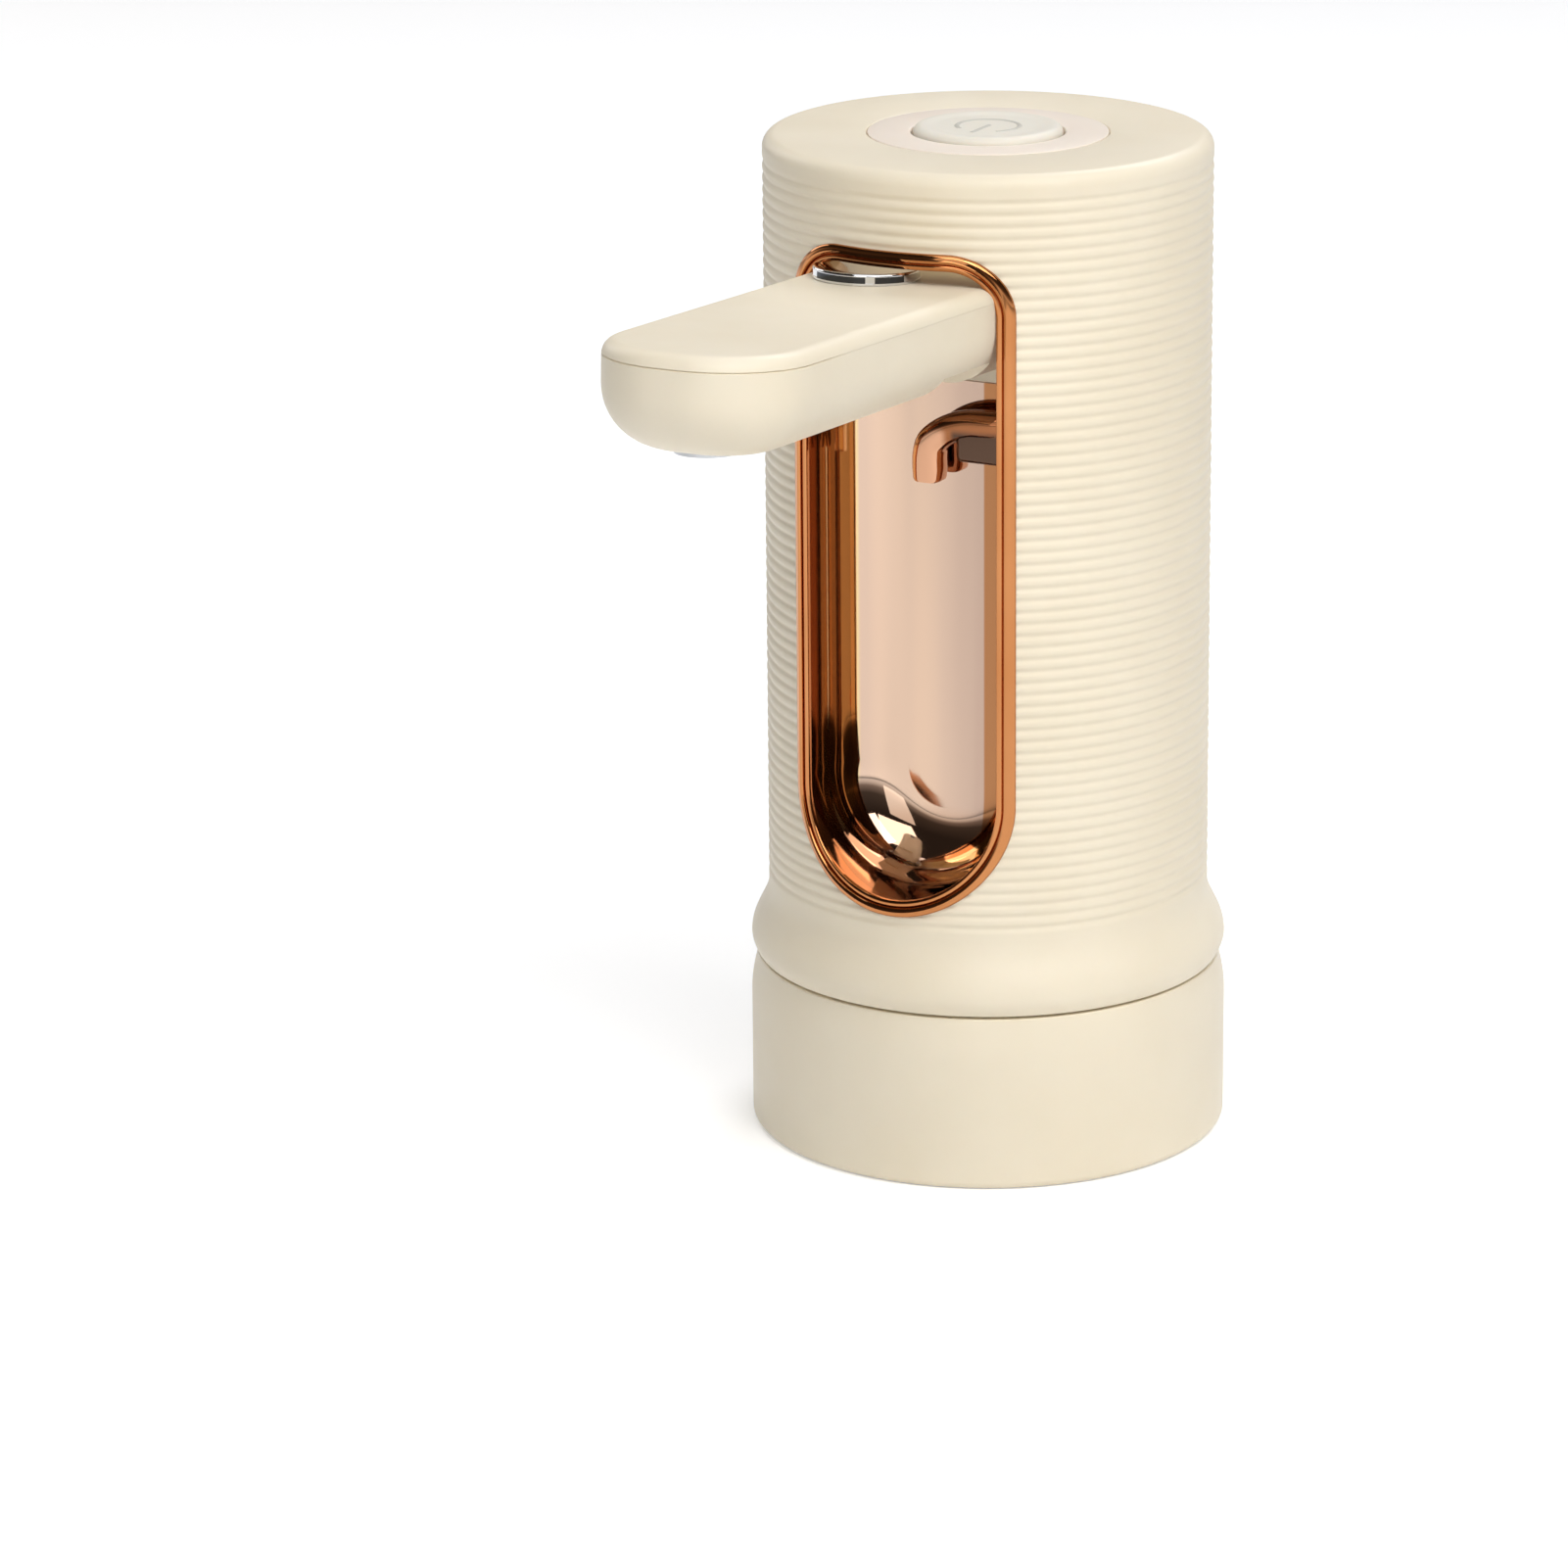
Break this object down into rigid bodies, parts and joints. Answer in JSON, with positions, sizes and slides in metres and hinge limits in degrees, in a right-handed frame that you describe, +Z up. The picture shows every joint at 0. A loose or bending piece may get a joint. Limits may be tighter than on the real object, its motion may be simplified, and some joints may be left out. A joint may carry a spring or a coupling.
{
  "type": "electric wine aerator",
  "caption": "Battery wine aerator and dispenser that plugs into a bottle neck, with a ribbed round body, a spout that folds into a plated recess and a power button on top.",
  "frame": {"origin": "centre of the base's lower rim, which the bottle's shoulder side faces", "axes": "+Z up along the body, -Y towards the opened spout, +X to the right seen from the spout side"},
  "size_m": [0.0498, 0.0951, 0.106],
  "materials": {
    "cream_shell": "satin cream moulded plastic",
    "rose_plating": "polished rose-gold plating on plastic",
    "cream_inner": "matt cream moulded plastic",
    "chrome_trim": "polished chrome",
    "steel": "machined stainless steel",
    "zinc_screw": "plated screw steel",
    "black_rubber": "black rubber",
    "clear_silicone": "milky silicone",
    "seal_silicone": "grey food-grade silicone",
    "button_silicone": "pale grey-green silicone",
    "plate_plastic": "matt warm white plastic",
    "nozzle_steel": "drawn stainless steel",
    "black_plastic": "black glass-filled plastic",
    "white_plastic": "white engineering plastic",
    "green_board": "green solder mask on glass-epoxy board",
    "flex_film": "amber polyimide film",
    "led_lens": "clear lens over a white die",
    "cell_sleeve": "blue heat-shrunk sleeve on a lithium cell",
    "nickel": "nickel strip",
    "magnet": "sintered magnet",
    "copper_iron": "laminated rotor with copper windings",
    "red_rubber": "red diaphragm rubber",
    "chip_black": "black chip housings"
  },
  "bodies": {
    "housing": {"body_shell": "cream_shell", "base_cup": "cream_shell", "window_rim": "rose_plating", "recess_liner": "rose_plating", "spout_catch": "rose_plating", "hinge_block": "cream_inner", "hinge_spindle": "steel", "spindle_seals": "black_rubber", "friction_washers": "white_plastic", "button_plate": "plate_plastic", "switch_body": "steel", "switch_board": "green_board", "switch_flex": "flex_film", "status_led": "led_lens", "chassis": "white_plastic", "battery_cell": "cell_sleeve", "battery_tabs": "nickel", "pump_motor_case": "steel", "motor_magnets": "magnet", "pump_head": "black_plastic", "pump_diaphragm": "red_rubber", "pump_pad": "black_rubber", "air_tube": "clear_silicone", "check_valve": "white_plastic", "duckbill": "red_rubber", "riser_tube": "clear_silicone", "base_manifold": "cream_inner", "neck_seal": "seal_silicone", "hose_nipple": "nozzle_steel", "control_board": "green_board", "board_chips": "chip_black", "usb_socket": "steel", "board_screws": "zinc_screw", "liner_screws": "zinc_screw", "hinge_screws": "zinc_screw", "foot_screws": "zinc_screw", "base_screws": "zinc_screw"},
    "spout": {"spout_shell": "cream_shell", "spout_cover": "cream_shell", "chrome_disc": "chrome_trim", "spout_tube": "clear_silicone", "outlet_nozzle": "nozzle_steel"},
    "button": {"power_button": "button_silicone", "switch_plunger": "black_plastic"},
    "rotor": {"motor_rotor": "copper_iron", "pump_eccentric": "white_plastic"}
  },
  "joints": [
    {"name": "spout_fold", "type": "hinge", "parent": "housing", "child": "spout", "pos_m": [0, -0.0138, 0.087], "axis": [1, 0, 0], "range_deg": [0, 93.3]},
    {"name": "button_press", "type": "slide", "parent": "housing", "child": "button", "axis": [0, 0, -1], "range_m": [0, 0.0006], "stiffness_N_per_m": 3000, "springref_m": -0.0001},
    {"name": "pump_spin", "type": "hinge", "parent": "housing", "child": "rotor", "pos_m": [0.0088, 0.00515, 0.06], "axis": [0, 0, 1], "continuous": true}
  ]
}
